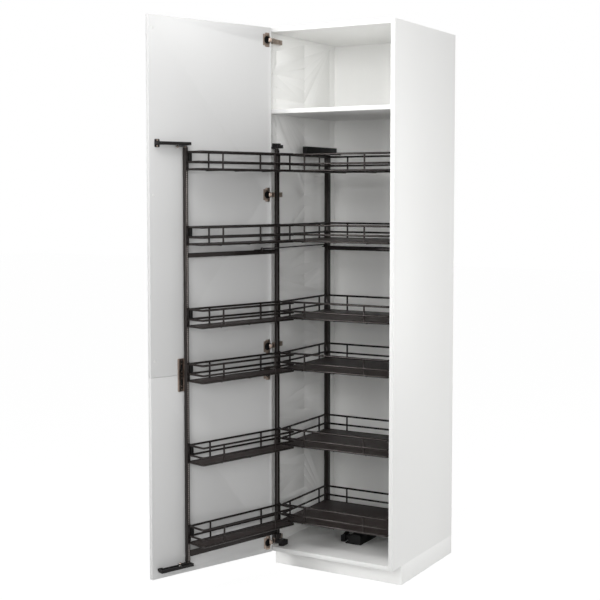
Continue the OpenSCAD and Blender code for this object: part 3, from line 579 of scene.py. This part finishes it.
def collar(name, low, high):
    """A black ring round the pivot pin, between the upright and its bracket."""
    put_down()
    bpy.ops.mesh.primitive_cylinder_add(vertices=32, radius=8.2 * MM, depth=(high - low) * MM,
                                        location=swing.point(0, 0, (low + high) / 2))
    ring = bpy.context.object
    bpy.ops.object.transform_apply(location=True)
    edit(ring)
    pick_faces(ring, lambda middle, normal: abs(normal.z) > 0.9)
    bpy.ops.mesh.inset(thickness=1.5 * MM)
    put_down()
    apply_modifier(ring, "BEVEL", width=0.6 * MM, segments=2, limit_method="ANGLE",
                   angle_limit=math.radians(50))
    smooth(ring, 40)
    seat(ring, name, "black_metal", "swing_frame")


collar("pivot_collar_top", 1776.2, 1781.8)
collar("pivot_collar_low", 126.2, 131.8)


def rack(name, low, high, pitch):
    """A toothed steel strip that lies in the outer upright's groove."""
    put_down()
    bpy.ops.mesh.primitive_cube_add(size=1, location=(0, 0, low * MM),
                                    scale=(4.6 * MM, 0.9 * MM, 0.72 * pitch * MM))
    strip = bpy.context.object
    bpy.ops.object.transform_apply(location=True, scale=True)
    edit(strip)
    pick_faces(strip, lambda middle, normal: normal.y > 0.9)
    bpy.ops.mesh.bevel(offset=0.3 * MM, segments=1)
    put_down()
    apply_modifier(strip, "ARRAY", count=int((high - low) / pitch), use_relative_offset=False,
                   use_constant_offset=True, constant_offset_displace=(0, 0, pitch * MM))
    strip.location = swing.point(swing_span, 8.5, 0)
    strip.rotation_euler = swing.turn.to_euler()
    seat(strip, name, "dark_metal", "swing_frame", finish="rack_steel")


rack("upright_rack", 142, 1768, 8.0)


# ---------------------------------------------------------------- studio

def white_stage(name, grey, shadow_share):
    """A floor that is white to the camera but still shows a soft shadow."""
    finish = Finish(name, Roughness=0.8, Base_Color=(grey, grey, grey, 1.0))
    seen = finish.node("ShaderNodeLightPath", {}, {}, "Is Camera Ray")
    for ray in ("Is Glossy Ray", "Is Transmission Ray"):
        seen = seen.maths("MAXIMUM", seen, finish.node("ShaderNodeLightPath", {}, {}, ray))
    glow = finish.node("ShaderNodeEmission", {}, {"Color": (1, 1, 1, 1), "Strength": 1.1})
    lit = Socket(finish, finish.shader.outputs[0])
    share = seen * (1.0 - shadow_share)
    mixed = finish.node("ShaderNodeMixShader", {}, {0: share, 1: lit, 2: glow})
    out = finish.tree.nodes["Material Output"]
    finish.fill(out.inputs["Surface"], mixed)
    return finish.material


bpy.ops.object.select_all(action="DESELECT")
bpy.ops.mesh.primitive_plane_add(size=40.0, location=(0, 0, -0.0005))
floor = bpy.context.object
floor.name = "studio_floor"
floor.data.materials.append(white_stage("studio_white", 0.55, 0.12))


def soft_box(name, place, aim, width, height, watts):
    """A rectangular lamp that looks at a point."""
    lamp = bpy.data.lights.new(name, "AREA")
    lamp.shape = "RECTANGLE"
    lamp.size = width
    lamp.size_y = height
    lamp.energy = watts
    holder = bpy.data.objects.new(name, lamp)
    bpy.context.collection.objects.link(holder)
    holder.location = place
    holder.rotation_euler = (Vector(aim) - Vector(place)).to_track_quat("-Z", "Y").to_euler()


middle = (0.0, 0.2, 1.15)
soft_box("lamp_camera", (1.6, -4.6, 2.2), middle, 2.0, 2.0, 57.5)
soft_box("lamp_behind_camera", (4.0, -8.0, 2.5), middle, 3.0, 3.0, 44.3)
soft_box("lamp_right", (4.5, -4.5, 2.0), middle, 2.0, 2.0, 63.0)
soft_box("lamp_left_near", (-2.15, -4.05, 2.1), (0.0, 0.1, 1.15), 0.35, 3.0, 88.0)
soft_box("lamp_high", (0.5, -2.4, 3.6), (0.0, 0.2, 1.9), 2.0, 1.0, 30.6)
soft_box("lamp_top_shelf", (0.05, -0.75, 2.45), (0.05, 0.4, 2.08), 0.6, 0.3, 1.9)
soft_box("lamp_rear_right", (3.5, 3.0, 1.9), (0.3, 0.2, 1.15), 2.0, 2.4, 54.5)
soft_box("lamp_rear_low", (4.0, 3.2, 0.4), (0.3, 0.2, 0.5), 2.0, 0.8, 34.6)


def studio_world(ambient):
    """A grey-white dome, pure white where the camera or a gloss sees it."""
    world = bpy.data.worlds.new("studio_world")
    bpy.context.scene.world = world
    world.use_nodes = True
    tree = world.node_tree
    path = tree.nodes.new("ShaderNodeLightPath")
    seen = tree.nodes.new("ShaderNodeMath")
    seen.operation = "MAXIMUM"
    tree.links.new(path.outputs["Is Camera Ray"], seen.inputs[0])
    tree.links.new(path.outputs["Is Glossy Ray"], seen.inputs[1])
    through = tree.nodes.new("ShaderNodeMath")
    through.operation = "MAXIMUM"
    tree.links.new(seen.outputs[0], through.inputs[0])
    tree.links.new(path.outputs["Is Transmission Ray"], through.inputs[1])
    level = tree.nodes.new("ShaderNodeMapRange")
    level.inputs["To Min"].default_value = ambient
    level.inputs["To Max"].default_value = 1.0
    tree.links.new(through.outputs[0], level.inputs["Value"])
    sky = tree.nodes["Background"]
    sky.inputs["Color"].default_value = (1, 1, 1, 1)
    tree.links.new(level.outputs[0], sky.inputs["Strength"])


studio_world(0.21)

# the place from which the photograph was taken, and its lens
camera_place = (2.359, -4.353, 1.597)
camera_turn = 30.29
camera_dip = 3.67
photo_width_px = 600
focal_px = 1196.4
rise_px = 30

camera_data = bpy.data.cameras.new("camera")
camera = bpy.data.objects.new("camera", camera_data)
bpy.context.collection.objects.link(camera)
camera.location = camera_place
camera.rotation_euler = (math.radians(90 - camera_dip), 0, math.radians(camera_turn))
camera_data.sensor_width = 36.0
camera_data.lens = focal_px / photo_width_px * camera_data.sensor_width
camera_data.shift_y = -rise_px / photo_width_px
bpy.context.scene.camera = camera
bpy.context.scene.view_settings.view_transform = "Standard"
